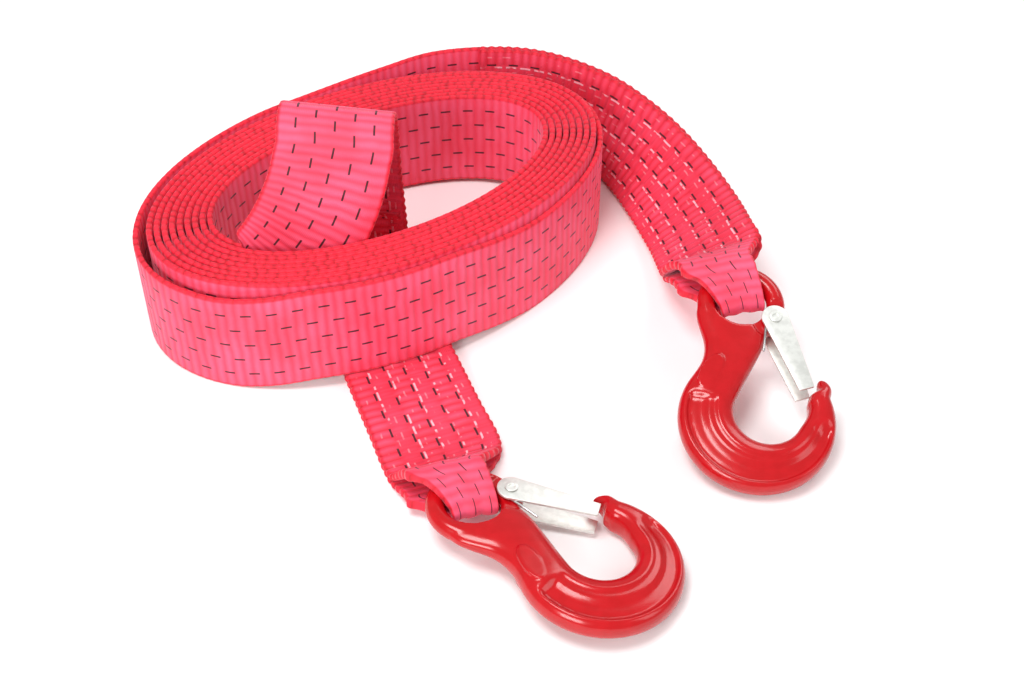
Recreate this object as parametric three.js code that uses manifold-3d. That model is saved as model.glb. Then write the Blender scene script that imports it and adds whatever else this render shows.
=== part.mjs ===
// Tow strap: a woven band wound in an oval coil, both ends sewn back into loops
// that hold forged eye hooks with sprung latches. Millimetres, +Z up.
import * as THREE from 'three';
import { mergeVertices } from 'three/addons/utils/BufferGeometryUtils.js';
import Module from 'manifold-3d';

const wasm = await Module();
wasm.setup();

// Webbing
const WEB_WIDTH = 60;
const WEB_THICK = 3.0;
const PLY_GAP = 0.3;

// Coil: an oval spiral standing on its edge, wound clockwise from the inside out
const COIL_CENTRE = { x: -71.7, y: 70.1 };
const COIL_TURN = 33.2;
const COIL_INNER_LONG = 99.2;
const COIL_INNER_SHORT = 55.2;
const PITCH_LONG = 4.1;
const PITCH_SHORT = 3.55;
const COIL_START = 200;
const COIL_SWEEP = 9.29;
const FULL_TURN = 360;
const STEPS_PER_TURN = 32;
const GROOVE_DEPTH = 3.0;
const OUTER_SLACK = 3.5;

// The front of the coil rides on the two plies that pass under it
const FLOOR_CLEARANCE = 0.3;

// Hook, drawn about the centre of its bowl, X from the eye to the bowl, Y to the nose
const BOWL_RADIUS = 17.1;
const HOOK_THICK = 16;
const OUTER_CENTRE = { x: 3.3, y: -6.0 };
const OUTER_RADIUS = 39.3;
const NOSE_OPENING = 3.5;
const EYE_CENTRE = { x: -64.3, y: -5.1 };
const EYE_BORE = 13.2;
const EYE_TUBE = 4.8;
const RECESS_DEPTH = 2.2;

// Latch
const PIVOT = { x: -52.3, y: 10.3 };
const PIN_RADIUS = 2.8;
const PIN_CLEARANCE = 0.3;
const LUG_RADIUS = 6.6;
const LUG_THICK = 7.2;
const LUG_RELIEF = 5;
const LATCH_SHEET = 1.5;
const LATCH_INSIDE = 10.4;
const LATCH_HEAD = 7.0;
const LATCH_LENGTH = 41.5;
const LATCH_TIP = 7.2;
const LATCH_ANGLE = 13.5;
const SPRING_WIRE = 1.3;
const SPRING_COIL = 4.9;

// Sewn loops round the eyes
const LOOP_WIDTH = 20;
const LOOP_THICK = 6.4;
const LOOP_CLEARANCE = 0.9;
const LOOP_TAPER = 36;
const LOOP_HOLD = 5;

const DEG = Math.PI / 180;
const paint = { color: 0xb5101a, roughness: 0.25, metalness: 0.1 };
const zinc = { color: 0xb9bcbd, roughness: 0.35, metalness: 0.9 };
const polyester = { color: 0xe8233f, roughness: 0.75, metalness: 0.0 };

const V = (x, y, z) => new THREE.Vector3(x, y, z);
const smooth = (t) => t * t * (3 - 2 * t);
const lerp = (a, b, t) => a + (b - a) * t;
const clamp01 = (t) => Math.min(1, Math.max(0, t));

// Solids

function toSolid(geometry) {
  const plain = geometry.clone();
  plain.deleteAttribute('normal');
  plain.deleteAttribute('uv');
  const merged = mergeVertices(plain, 1e-4);
  return new wasm.Manifold(new wasm.Mesh({
    numProp: 3,
    vertProperties: new Float32Array(merged.attributes.position.array),
    triVerts: new Uint32Array(merged.index.array),
  }));
}

function toGeometry(solid) {
  const mesh = solid.getMesh();
  const geometry = new THREE.BufferGeometry();
  geometry.setAttribute('position', new THREE.BufferAttribute(mesh.vertProperties, 3));
  geometry.setIndex(new THREE.BufferAttribute(mesh.triVerts, 1));
  geometry.computeVertexNormals();
  return geometry;
}

// A closed skin through rings of points that all have the same count
function loft(rings) {
  const count = rings[0].length;
  const points = rings.flat();
  const index = [];
  for (let i = 0; i + 1 < rings.length; i += 1) {
    for (let j = 0; j < count; j += 1) {
      const a = i * count + j;
      const b = i * count + ((j + 1) % count);
      index.push(a, b, b + count, a, b + count, a + count);
    }
  }
  const last = (rings.length - 1) * count;
  for (let j = 1; j + 1 < count; j += 1) {
    index.push(0, j + 1, j);
    index.push(last, last + j, last + j + 1);
  }
  const geometry = new THREE.BufferGeometry();
  const flat = points.flatMap((p) => p.toArray());
  geometry.setAttribute('position', new THREE.Float32BufferAttribute(flat, 3));
  geometry.setIndex(index);
  return geometry;
}

// The band: stations hold a point, a width direction, a width, a thickness and a hollow,
// the depth of the saddle on the side that bears on an eye (side -1 or 1)
function bandSolid(stations) {
  const rings = stations.map((s, i) => {
    const before = stations[Math.max(i - 1, 0)].p;
    const after = stations[Math.min(i + 1, stations.length - 1)].p;
    const along = after.clone().sub(before).normalize();
    const face = s.w.clone().cross(along).normalize();
    const w = s.w.clone().normalize().multiplyScalar(s.width / 2);
    const half = s.thick / 2;
    const lowEdge = s.side < 0 ? -half + s.hollow : -half;
    const highEdge = s.side > 0 ? half - s.hollow : half;
    const at = (k, h) => s.p.clone().addScaledVector(w, k).addScaledVector(face, h);
    return [at(-1, highEdge), at(0, half), at(1, highEdge), at(1, lowEdge), at(0, -half), at(-1, lowEdge)];
  });
  return toSolid(loft(rings));
}

const station = (p, w, width = WEB_WIDTH, thick = WEB_THICK, hollow = 0, side = 0) => (
  { p, w, width, thick, hollow, side });

// Hook frames

function hookFrame(x, y, z, heading, tilt, roll) {
  const matrix = new THREE.Matrix4().makeRotationZ(heading * DEG);
  matrix.multiply(new THREE.Matrix4().makeRotationY(tilt * DEG));
  matrix.multiply(new THREE.Matrix4().makeRotationX(roll * DEG));
  matrix.setPosition(x, y, z);
  return matrix;
}

const frontFrame = hookFrame(40.25, -157.8, 11.32, -28.5, 3.0, -4.9);
const rearFrame = hookFrame(127.3, -75.3, 19.45, -86.8, 17.4, 0);

const eyeRing = EYE_BORE + EYE_TUBE;
const loopInside = EYE_TUBE + LOOP_CLEARANCE;
const loopRadius = loopInside + LOOP_THICK / 2;
const loopHollow = eyeRing - Math.sqrt(EYE_BORE ** 2 - (LOOP_WIDTH / 2) ** 2) - EYE_TUBE;

// Where a loop bears on an eye: the tube's centre there, the way out of the eye and
// the axis that the hook swings on
function bearing(frame, from) {
  const eye = V(EYE_CENTRE.x, EYE_CENTRE.y, 0).applyMatrix4(frame);
  const local = from.clone().applyMatrix4(frame.clone().invert());
  const out = V(local.x - EYE_CENTRE.x, local.y - EYE_CENTRE.y, 0).normalize();
  const axis = V(-out.y, out.x, 0);
  const turnOnly = new THREE.Matrix4().extractRotation(frame);
  return {
    centre: eye.clone().add(out.clone().applyMatrix4(turnOnly).multiplyScalar(eyeRing)),
    out: out.clone().applyMatrix4(turnOnly),
    axis: axis.applyMatrix4(turnOnly),
  };
}

// The two plies' line across the floor, from the wall of the coil towards the front hook
const frontWall = V(-59.5, -22.5, 0);
const front = bearing(frontFrame, frontWall);
const frontWay = V(front.centre.x - frontWall.x, front.centre.y - frontWall.y, 0).normalize();

// Coil path

const coilOuterShort = COIL_INNER_SHORT + PITCH_SHORT * COIL_SWEEP + WEB_THICK;
const plyStack = 2 * WEB_THICK + PLY_GAP;
const coilLift = (plyStack + FLOOR_CLEARANCE) / (0.5 + 0.5 * COIL_INNER_SHORT / coilOuterShort);

// Height of the coil's lower edge: nothing at the back, the two plies at the front
function liftAt(x, y) {
  const turn = COIL_TURN * DEG;
  const across = -(x - COIL_CENTRE.x) * Math.sin(turn) + (y - COIL_CENTRE.y) * Math.cos(turn);
  return coilLift * (0.5 - 0.5 * across / coilOuterShort);
}

function coilPoint(turns, angle) {
  const long = COIL_INNER_LONG + PITCH_LONG * turns;
  const short = COIL_INNER_SHORT + PITCH_SHORT * turns;
  const turn = COIL_TURN * DEG;
  const u = long * Math.cos(angle * DEG);
  const v = short * Math.sin(angle * DEG);
  const x = COIL_CENTRE.x + u * Math.cos(turn) - v * Math.sin(turn);
  const y = COIL_CENTRE.y + u * Math.sin(turn) + v * Math.cos(turn);
  return V(x, y, liftAt(x, y) + WEB_WIDTH / 2);
}

const coilSteps = Math.round(COIL_SWEEP * STEPS_PER_TURN);
const coilAt = (k) => coilPoint(k / STEPS_PER_TURN, COIL_START - FULL_TURN * k / STEPS_PER_TURN);
const DOWN = V(0, 0, -1);

const CROSSING_REACH = WEB_WIDTH / 2 + 4;
const CROSSING_SLOPE = 50;

// The outermost turn lies looser: on the floor but for the plies, and further out at the left
function outerTurn(k) {
  const share = (k - (coilSteps - STEPS_PER_TURN)) / STEPS_PER_TURN;
  const p = coilAt(k);
  if (share <= 0) {
    return p;
  }
  const slack = OUTER_SLACK * smooth(clamp01((share - 0.45) / 0.2));
  const out = V(p.x - COIL_CENTRE.x, p.y - COIL_CENTRE.y, 0).normalize();
  const across = Math.abs((p.x - frontWall.x) * frontWay.y - (p.y - frontWall.y) * frontWay.x);
  const front = p.y < COIL_CENTRE.y ? 1 : 0;
  const away = clamp01((across - CROSSING_REACH) / CROSSING_SLOPE);
  const lift = front * (plyStack + FLOOR_CLEARANCE) * (1 - smooth(away));
  const settled = smooth(clamp01(share / 0.1));
  p.z = lerp(p.z, WEB_WIDTH / 2 + lift, settled);
  return p.addScaledVector(out, slack);
}

const coilStations = [];
for (let k = 0; k <= coilSteps; k += 1) {
  coilStations.push(station(outerTurn(k), DOWN));
}

// The turns but the outermost lie close: between their edges they are one oval ring
function coilCore() {
  const outline = (first) => {
    const points = [];
    for (let k = 0; k <= STEPS_PER_TURN; k += 1) {
      points.push(coilAt(first + k));
    }
    return points.reverse().map((p) => new THREE.Vector2(p.x, p.y));
  };
  const shape = new THREE.Shape(outline(coilSteps - 2 * STEPS_PER_TURN));
  shape.holes.push(new THREE.Path(outline(0)));
  const height = WEB_WIDTH - 2 * GROOVE_DEPTH;
  const geometry = new THREE.ExtrudeGeometry(shape, { depth: height, bevelEnabled: false });
  const position = geometry.attributes.position;
  for (let i = 0; i < position.count; i += 1) {
    const lift = liftAt(position.getX(i), position.getY(i));
    position.setZ(i, position.getZ(i) + GROOVE_DEPTH + lift);
  }
  return toSolid(geometry);
}

// Half a turn of the band round an eye's tube, from one face of the band to the other
function loopStations(seat, w, startNormal, side) {
  const stations = [];
  const steps = 10;
  for (let i = 0; i <= steps; i += 1) {
    const angle = Math.PI * i / steps;
    const p = seat.centre.clone();
    p.addScaledVector(startNormal, loopRadius * Math.cos(angle));
    p.addScaledVector(seat.out, -loopRadius * Math.sin(angle));
    stations.push(station(p, w, LOOP_WIDTH, LOOP_THICK, loopHollow, side));
  }
  return stations;
}

// Front end: along the floor, up inside the coil, over and down into the first turn

const upperPly = WEB_THICK * 1.5 + PLY_GAP;
const frontAcross = V(-frontWay.y, frontWay.x, 0);
const frontAxis = front.axis.clone().multiplyScalar(Math.sign(front.axis.dot(frontAcross)));
const frontUp = frontAxis.clone().cross(front.out).normalize();
if (frontUp.z < 0) {
  frontUp.negate();
}

// The width a ply still has at a share of the taper towards the eye
const taperWidth = (t) => lerp(WEB_WIDTH, LOOP_WIDTH, smooth(t));
const taperThick = (t) => lerp(WEB_THICK, LOOP_THICK, smooth(t));
const taperHollow = (t) => loopHollow * Math.min(1, 1.6 * smooth(t));

const RISE_START = 58;
const RISE_RADIUS = 20;
const CREST = { x: -89.5, y: 40, z: 99 };
const CREST_RADIUS = 20;

function frontPlies() {
  const under = [];
  const over = [];
  const steps = 8;
  for (let i = 1; i <= steps; i += 1) {
    const t = 1 - i / steps;
    const back = LOOP_TAPER * i / steps;
    const k = smooth(t);
    const base = front.centre.clone().addScaledVector(frontWay, -back);
    const top = lerp(upperPly, front.centre.z + loopRadius, k);
    const bottom = lerp(WEB_THICK / 2, front.centre.z - loopRadius, k);
    const w = frontAcross.clone().lerp(frontAxis, k).normalize();
    const droop = Math.abs(w.z) * taperWidth(t) / 2;
    over.push(station(V(base.x, base.y, top), w, taperWidth(t), taperThick(t), taperHollow(t), -1));
    const low = V(base.x, base.y, Math.max(bottom, taperThick(t) / 2 + droop));
    under.push(station(low, w, taperWidth(t), taperThick(t), taperHollow(t), -1));
  }
  return { over, under };
}

// Both plies run flat from the taper to the foot of the rise and then up
function riseStations(offset) {
  const stations = [];
  const foot = frontWall.clone().addScaledVector(frontWay, -RISE_START);
  const height = upperPly - offset;
  for (const share of [0.75, 0.5, 0.25, 0]) {
    const start = front.centre.clone().addScaledVector(frontWay, -LOOP_TAPER);
    const p = V(lerp(foot.x, start.x, share), lerp(foot.y, start.y, share), height);
    stations.push(station(p, frontAcross));
  }
  const radius = RISE_RADIUS + offset;
  const steps = 6;
  const crestAcross = V(0.994, -0.07, -0.075).normalize();
  for (let i = 1; i <= steps; i += 1) {
    const angle = Math.PI / 2 * i / steps;
    const p = foot.clone().addScaledVector(frontWay, -radius * Math.sin(angle));
    p.z = upperPly + RISE_RADIUS - radius * Math.cos(angle);
    const w = frontAcross.clone().lerp(crestAcross, 0.5 * i / steps).normalize();
    stations.push(station(p, w));
  }
  return { stations, crestAcross };
}

const { over, under } = frontPlies();
const upperRise = riseStations(0);
const lowerRise = riseStations(WEB_THICK + PLY_GAP);

const fromLowerRise = [...lowerRise.stations].reverse();
const lowerTop = fromLowerRise[0].p.clone().add(V(-3, 1, 24));

function crestStations() {
  const stations = [];
  const steps = 10;
  const across = upperRise.crestAcross;
  for (let i = 0; i <= steps; i += 1) {
    const angle = (-10 + 150 * i / steps) * DEG;
    const reach = CREST_RADIUS * Math.cos(angle);
    const p = V(CREST.x, CREST.y + reach, CREST.z + CREST_RADIUS * Math.sin(angle));
    stations.push(station(p, across));
  }
  return stations;
}

const crest = crestStations();
const crestEnd = crest[crest.length - 1];

// The flap turns on its way down from flat to on edge
function flapStations() {
  const points = [crestEnd.p, V(-95, 16, 92), V(-104, 10, 72), V(-117, 7, 54), V(-131, 5.5, 42), coilAt(0)];
  const ways = [
    crestEnd.w, V(0.97, -0.08, -0.22), V(0.88, -0.06, -0.47), V(0.68, -0.03, -0.73),
    V(0.36, 0, -0.93), DOWN,
  ];
  const path = new THREE.CatmullRomCurve3(points);
  const turning = new THREE.CatmullRomCurve3(ways);
  const stations = [];
  const steps = 14;
  for (let i = 1; i < steps; i += 1) {
    stations.push(station(path.getPoint(i / steps), turning.getPoint(i / steps).normalize()));
  }
  return stations;
}

const frontStations = [
  station(lowerTop, lowerRise.crestAcross),
  ...fromLowerRise,
  ...[...under].reverse(),
  ...loopStations(front, frontAxis, frontUp.clone().negate(), -1),
  ...over,
  ...upperRise.stations,
  ...crest,
  ...flapStations(),
];

// Rear end: off the back of the coil, round to the right, leaning over to the hook

// Where the band goes, how high its lower edge is and which way its upper edge leans
const rearRoute = [
  { x: -79, y: 175, low: 0, lean: V(0, 0.03, 1) },
  { x: -45, y: 193, low: 0, lean: V(0, 0.06, 1) },
  { x: 8, y: 194.5, low: 0, lean: V(0.05, 0.12, 1) },
  { x: 47, y: 173, low: 0, lean: V(0.2, 0.1, 0.97) },
  { x: 70, y: 146, low: 0, lean: V(0.4, 0.05, 0.9) },
  { x: 89, y: 112, low: 0, lean: V(0.62, 0.03, 0.78) },
  { x: 103, y: 72, low: 3, lean: V(0.76, 0, 0.65) },
  { x: 108, y: 38, low: 11, lean: V(0.8, -0.04, 0.6) },
];
const rearLeans = rearRoute.map((s) => s.lean.clone().normalize());
const rearPoints = rearRoute.map((s, i) => {
  const upright = rearLeans[i].z;
  const flat = Math.sqrt(1 - upright ** 2);
  return V(s.x, s.y, s.low + upright * WEB_WIDTH / 2 + flat * WEB_THICK / 2);
});
const rear = bearing(rearFrame, rearPoints[rearPoints.length - 1]);
const rearLast = rearLeans[rearLeans.length - 1];
const rearAxis = rear.axis.clone().multiplyScalar(-Math.sign(rear.axis.dot(rearLast)));
const rearIn = rear.out.clone().negate();
const rearFace = rearAxis.clone().cross(rearIn).normalize();

function rearStations() {
  const seat = rear.centre.clone().addScaledVector(rearFace, -loopRadius);
  const path = new THREE.CatmullRomCurve3([outerTurn(coilSteps), ...rearPoints, seat]);
  const ways = [DOWN, ...rearLeans.map((v) => v.clone().negate()), rearAxis];
  const turning = new THREE.CatmullRomCurve3(ways);
  const steps = 40;
  const main = [];
  for (let i = 1; i <= steps; i += 1) {
    const t = i / steps;
    const p = path.getPoint(t);
    const w = turning.getPoint(t).normalize();
    const lowest = (WEB_WIDTH * Math.abs(w.z) + WEB_THICK * Math.hypot(w.x, w.y)) / 2;
    p.z = Math.max(p.z, lowest);
    main.push({ p, w });
  }
  return main;
}

const rearMain = rearStations();
const REAR_OVERLAP_START = 10;

function rearPlies() {
  const last = rearMain.length - 1;
  let toEye = 0;
  const away = [];
  for (let i = last; i >= 0; i -= 1) {
    away[i] = toEye;
    if (i > 0) {
      toEye += rearMain[i].p.distanceTo(rearMain[i - 1].p);
    }
  }
  const main = [];
  const back = [];
  rearMain.forEach((s, i) => {
    const t = Math.min(1, Math.max(0, 1 - (away[i] - LOOP_HOLD) / LOOP_TAPER));
    const k = smooth(t);
    const w = s.w.clone().lerp(rearAxis, k).normalize();
    main.push(station(s.p, w, taperWidth(t), taperThick(t), taperHollow(t), 1));
    if (i < REAR_OVERLAP_START || i === last) {
      return;
    }
    const along = rearMain[i + 1].p.clone().sub(rearMain[i - 1].p).normalize();
    const face = w.clone().cross(along).normalize().lerp(rearFace, k).normalize();
    const p = s.p.clone().addScaledVector(face, lerp(WEB_THICK + PLY_GAP, 2 * loopRadius, k));
    back.push(station(p, w, taperWidth(t), taperThick(t), taperHollow(t), 1));
  });
  return { main, back };
}

const rearBand = rearPlies();
const rearLoop = loopStations(rear, rearAxis, rearFace.clone().negate(), 1);

const band = bandSolid([
  ...frontStations,
  ...coilStations,
  ...rearBand.main.slice(0, -1),
  ...rearLoop,
  ...[...rearBand.back].reverse(),
]);
const webbing = toGeometry(band.add(coilCore()));

// Hook body: sections swept from the nose round the bowl and up the shank to the eye

const outerOffset = Math.hypot(OUTER_CENTRE.x, OUTER_CENTRE.y);

function hookBody() {
  const sections = [];
  const add = (x, y, heading, width, thick, recess) => {
    sections.push({ x, y, heading, width, thick, recess });
  };
  add(-16.2, 28.9, 202, 3.6, 6.4, 0);
  add(-14.6, 29.4, 200, 5.4, 9, 0);
  add(-10.8, 30.0, 192, 7.4, 12, 0);
  add(-8.6, 27.6, 184, 11.8, 14.5, 0);
  const steps = 24;
  for (let i = 0; i <= steps; i += 1) {
    const angle = 100 - 220 * i / steps;
    const c = Math.cos(angle * DEG);
    const s = Math.sin(angle * DEG);
    const inner = BOWL_RADIUS + NOSE_OPENING * smooth(clamp01((angle - 55) / 45));
    const reach = OUTER_CENTRE.x * c + OUTER_CENTRE.y * s;
    const outer = reach + Math.sqrt(OUTER_RADIUS ** 2 - outerOffset ** 2 + reach ** 2);
    const mid = (inner + outer) / 2;
    const ease = clamp01(Math.min((80 - angle) / 30, (angle + 112) / 14));
    add(mid * c, mid * s, angle + 90, outer - inner, HOOK_THICK, RECESS_DEPTH * smooth(ease));
  }
  add(-23.2, -20.2, -28.5, 24.1, 15.2, 0);
  add(-32.2, -15.3, -19.1, 26, 14.2, 0);
  add(-40.7, -12.1, -10.5, 30.3, 13, 0);
  add(-49.2, -11.2, -7.5, 34.4, 12, 0);
  add(-57.5, -12.3, -2, 33.4, 11, 0);
  add(-64.3, -17.4, 0, 21, 9, 0);
  return sections;
}

function hookSections() {
  return hookBody().map((s) => {
    const c = Math.cos(s.heading * DEG - Math.PI / 2);
    const n = Math.sin(s.heading * DEG - Math.PI / 2);
    const w = s.width / 2;
    const h = s.thick / 2;
    const floor = 1 - s.recess / h;
    const half = [
      [1, 0.4], [0.92, 0.8], [0.76, 1], [0.62, floor],
      [0.04, floor], [-0.42, 1], [-0.8, 0.86], [-0.97, 0.4],
    ];
    const full = [...half, ...[...half].reverse().map(([a, b]) => [a, -b])];
    return full.map(([a, b]) => V(s.x + a * w * c, s.y + a * w * n, b * h));
  });
}

const cylinder = (radius, height, x, y, segments) => {
  const geometry = new THREE.CylinderGeometry(radius, radius, height, segments);
  geometry.rotateX(Math.PI / 2);
  geometry.translate(x, y, 0);
  return geometry;
};

function hookSolid() {
  const body = toSolid(loft(hookSections()));
  const ring = new THREE.TorusGeometry(eyeRing, EYE_TUBE, 14, 40);
  ring.translate(EYE_CENTRE.x, EYE_CENTRE.y, 0);
  const bore = cylinder(EYE_BORE, 4 * HOOK_THICK, EYE_CENTRE.x, EYE_CENTRE.y, 48);
  const lug = cylinder(LUG_RADIUS, LUG_THICK, PIVOT.x, PIVOT.y, 24);
  const side = (z) => {
    const slab = cylinder(LATCH_HEAD + LUG_RELIEF, HOOK_THICK, PIVOT.x, PIVOT.y, 28);
    slab.translate(0, 0, z);
    return slab;
  };
  const offset = LUG_THICK / 2 + HOOK_THICK / 2;
  const hole = cylinder(PIN_RADIUS + PIN_CLEARANCE, 4 * HOOK_THICK, PIVOT.x, PIVOT.y, 20);
  let solid = body.subtract(toSolid(bore));
  solid = solid.add(toSolid(ring));
  solid = solid.subtract(toSolid(side(offset))).subtract(toSolid(side(-offset)));
  solid = solid.add(toSolid(lug)).subtract(toSolid(hole));
  return toGeometry(solid);
}

// Latch: a pressed channel with two cheeks round the lug and a web towards the bowl

function cheekShape() {
  const shape = new THREE.Shape();
  const tip = LATCH_TIP / 2;
  shape.absarc(0, 0, LATCH_HEAD, 80 * DEG, 280 * DEG, false);
  shape.lineTo(LATCH_LENGTH - 2, -tip - 0.6);
  shape.lineTo(LATCH_LENGTH, -tip + 1);
  shape.lineTo(LATCH_LENGTH, tip);
  shape.closePath();
  return shape;
}

function latchSolid() {
  const options = { depth: LATCH_SHEET, bevelEnabled: false, curveSegments: 14 };
  const upper = new THREE.ExtrudeGeometry(cheekShape(), options);
  upper.translate(0, 0, LATCH_INSIDE / 2);
  const lower = new THREE.ExtrudeGeometry(cheekShape(), options);
  lower.translate(0, 0, -LATCH_INSIDE / 2 - LATCH_SHEET);
  const webStart = LATCH_HEAD + 4.5;
  const webLength = LATCH_LENGTH - webStart;
  const web = new THREE.BoxGeometry(webLength, LATCH_SHEET, LATCH_INSIDE + 1);
  const slope = Math.atan2(LATCH_HEAD * Math.sin(80 * DEG) - LATCH_TIP / 2 - 0.6, LATCH_LENGTH - 3);
  web.translate(webLength / 2, LATCH_SHEET / 2, 0);
  web.rotateZ(slope);
  web.translate(webStart, -LATCH_HEAD + 1.9, 0);
  const hole = cylinder(PIN_RADIUS + PIN_CLEARANCE, 4 * HOOK_THICK, 0, 0, 20);
  const solid = toSolid(upper).add(toSolid(lower)).add(toSolid(web)).subtract(toSolid(hole));
  const geometry = toGeometry(solid);
  geometry.rotateZ(LATCH_ANGLE * DEG);
  geometry.translate(PIVOT.x, PIVOT.y, 0);
  return geometry;
}

// Pin: a shank through cheeks and lug with a low head outside each cheek
function pinSolid() {
  const half = LATCH_INSIDE / 2 + LATCH_SHEET + PIN_CLEARANCE;
  const head = 1.0;
  const profile = [
    [0, -half - head], [3.6, -half - head], [4.2, -half - 0.3], [4.2, -half], [PIN_RADIUS, -half],
    [PIN_RADIUS, half], [4.2, half], [4.2, half + 0.3], [3.6, half + head], [0, half + head],
  ];
  const geometry = new THREE.LatheGeometry(profile.map(([r, z]) => new THREE.Vector2(r, z)), 20);
  geometry.rotateX(Math.PI / 2);
  geometry.translate(PIVOT.x, PIVOT.y, 0);
  return toGeometry(toSolid(geometry));
}

// Spring: wire turned round the pin beside the lug, one leg to the shank, one to the web
function springSolid() {
  const z = LUG_THICK / 2 + 0.3 + SPRING_WIRE / 2;
  const coil = new THREE.TorusGeometry(SPRING_COIL - SPRING_WIRE / 2, SPRING_WIRE / 2, 8, 24);
  coil.translate(PIVOT.x, PIVOT.y, z);
  const leg = (angle, length) => {
    const wire = new THREE.CylinderGeometry(SPRING_WIRE / 2, SPRING_WIRE / 2, length, 8);
    wire.rotateZ(-Math.PI / 2);
    wire.translate(length / 2, -(SPRING_COIL - SPRING_WIRE / 2), 0);
    wire.rotateZ(angle * DEG);
    wire.translate(PIVOT.x, PIVOT.y, z);
    return wire;
  };
  const solid = toSolid(coil).add(toSolid(leg(-12, 20))).add(toSolid(leg(23.5, 17)));
  return toGeometry(solid);
}

// Assembly

const strap = new THREE.Group();

function addMesh(parent, name, geometry, finish) {
  const mesh = new THREE.Mesh(geometry, new THREE.MeshStandardMaterial(finish));
  mesh.name = name;
  parent.add(mesh);
  return mesh;
}

addMesh(strap, 'webbing', webbing, polyester);
const pieces = {
  hook: hookSolid(),
  latch: latchSolid(),
  latch_pin: pinSolid(),
  latch_spring: springSolid(),
};
for (const [end, frame] of [['front', frontFrame], ['rear', rearFrame]]) {
  const holder = new THREE.Group();
  holder.applyMatrix4(frame);
  addMesh(holder, `${end}_hook`, pieces.hook, paint);
  addMesh(holder, `${end}_latch`, pieces.latch, zinc);
  addMesh(holder, `${end}_latch_pin`, pieces.latch_pin, zinc);
  addMesh(holder, `${end}_latch_spring`, pieces.latch_spring, zinc);
  strap.add(holder);
}

// The part's origin is at the middle of its footprint, on the floor
const group = new THREE.Group();
group.add(strap);
group.updateMatrixWorld(true);
const extent = new THREE.Box3().setFromObject(strap, true);
const middle = extent.getCenter(V(0, 0, 0));
strap.position.set(-middle.x, -middle.y, -extent.min.z);

export default group;
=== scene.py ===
# %% [markdown]
# # A tow strap in Blender
#
# The strap is one long woven band. It is wound in an oval coil, and each end is folded round
# the eye of a forged hook and sewn back to itself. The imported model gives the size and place
# of everything. Here each piece gets its real surface: ribs and tracer threads on the band,
# glossy paint on the hooks and bright zinc on the latches.

# %% Load the frame
import math

import bmesh
import bpy
import numpy as np
from mathutils import Matrix, Vector


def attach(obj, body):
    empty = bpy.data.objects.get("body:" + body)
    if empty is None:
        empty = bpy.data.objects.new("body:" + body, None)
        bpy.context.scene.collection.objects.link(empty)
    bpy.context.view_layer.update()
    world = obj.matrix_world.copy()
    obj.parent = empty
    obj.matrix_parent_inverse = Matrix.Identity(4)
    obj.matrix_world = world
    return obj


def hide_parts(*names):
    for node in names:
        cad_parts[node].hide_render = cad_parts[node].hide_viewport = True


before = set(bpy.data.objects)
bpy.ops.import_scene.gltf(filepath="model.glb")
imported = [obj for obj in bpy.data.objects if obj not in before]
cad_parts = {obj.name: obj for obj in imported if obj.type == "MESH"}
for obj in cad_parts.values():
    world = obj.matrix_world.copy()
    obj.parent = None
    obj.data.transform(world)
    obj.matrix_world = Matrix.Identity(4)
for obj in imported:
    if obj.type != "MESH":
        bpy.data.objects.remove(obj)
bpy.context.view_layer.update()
MM = 0.001

# %% [markdown]
# ## Camera
#
# The strap was measured with its origin at the centre of the picture. The part's own origin
# is at the middle of its footprint, so everything measured, the camera too, moves by one
# small step. The camera looks down at 43 degrees through a slightly long lens, which keeps
# the far side of the coil from looking small.

# %% Place the camera
STEP = Vector((19.798, 1.334, 0.0)) * MM
VIEW_DOWN = math.radians(43)
VIEW_DISTANCE = 0.8157

camera_data = bpy.data.cameras.new("camera")
camera_data.sensor_width = 36
camera_data.lens = 36 * 1500 / 1024
camera = bpy.data.objects.new("camera", camera_data)
bpy.context.scene.collection.objects.link(camera)
view_back, view_up = -VIEW_DISTANCE * math.cos(VIEW_DOWN), VIEW_DISTANCE * math.sin(VIEW_DOWN)
camera.location = STEP + Vector((0, view_back, view_up))
camera.rotation_euler = (math.pi / 2 - VIEW_DOWN, 0, 0)
bpy.context.scene.camera = camera
print("lens:", round(camera_data.lens, 1), "mm")

# %% [markdown]
# ## The band's measurements
#
# Webbing is sold by its width. This one is 60 mm wide and 3 mm thick. The coil is an oval
# spiral: each turn is one pitch bigger than the last. All lengths are in millimetres, and
# they are turned into metres only when a mesh is made.

# %% Name the sizes
WEB_WIDTH = 60.0
WEB_THICK = 3.0
PLY_GAP = 0.3
COIL_CENTRE = (-71.7, 70.1)
COIL_TURN = math.radians(33.2)
COIL_INNER = (99.2, 55.2)
COIL_PITCH = (4.1, 3.55)
COIL_START = 200
COIL_SWEEP = 9.29
TURN_STEPS = 32
OUTER_SLACK = 3.5
FLOOR_CLEARANCE = 0.3
EYE_CENTRE = (-64.3, -5.1)
EYE_BORE = 13.2
EYE_TUBE = 4.8
EYE_RING = EYE_BORE + EYE_TUBE
LOOP_WIDTH = 23.0
LOOP_THICK = 6.4
LOOP_FLAT = LOOP_THICK * 0.8
LOOP_CLEARANCE = 0.9
LOOP_RADIUS = EYE_TUBE + LOOP_CLEARANCE + LOOP_THICK / 2
LOOP_TAPER = 25.0
LOOP_SAG = 11.0
NECK_WIDTH = 38.0
LOOP_CUP = 1.5
LOOP_HOLD = 5.0
PLY_STACK = 2 * WEB_THICK + PLY_GAP
UPPER_PLY = WEB_THICK * 1.5 + PLY_GAP


def vec(*values):
    return np.array(values, float)


def unit(v):
    return v / np.linalg.norm(v)


def clamp01(t):
    return min(1.0, max(0.0, t))


def smooth(t):
    return t * t * (3 - 2 * t)


def lerp(a, b, t):
    return a + (b - a) * t


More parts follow.
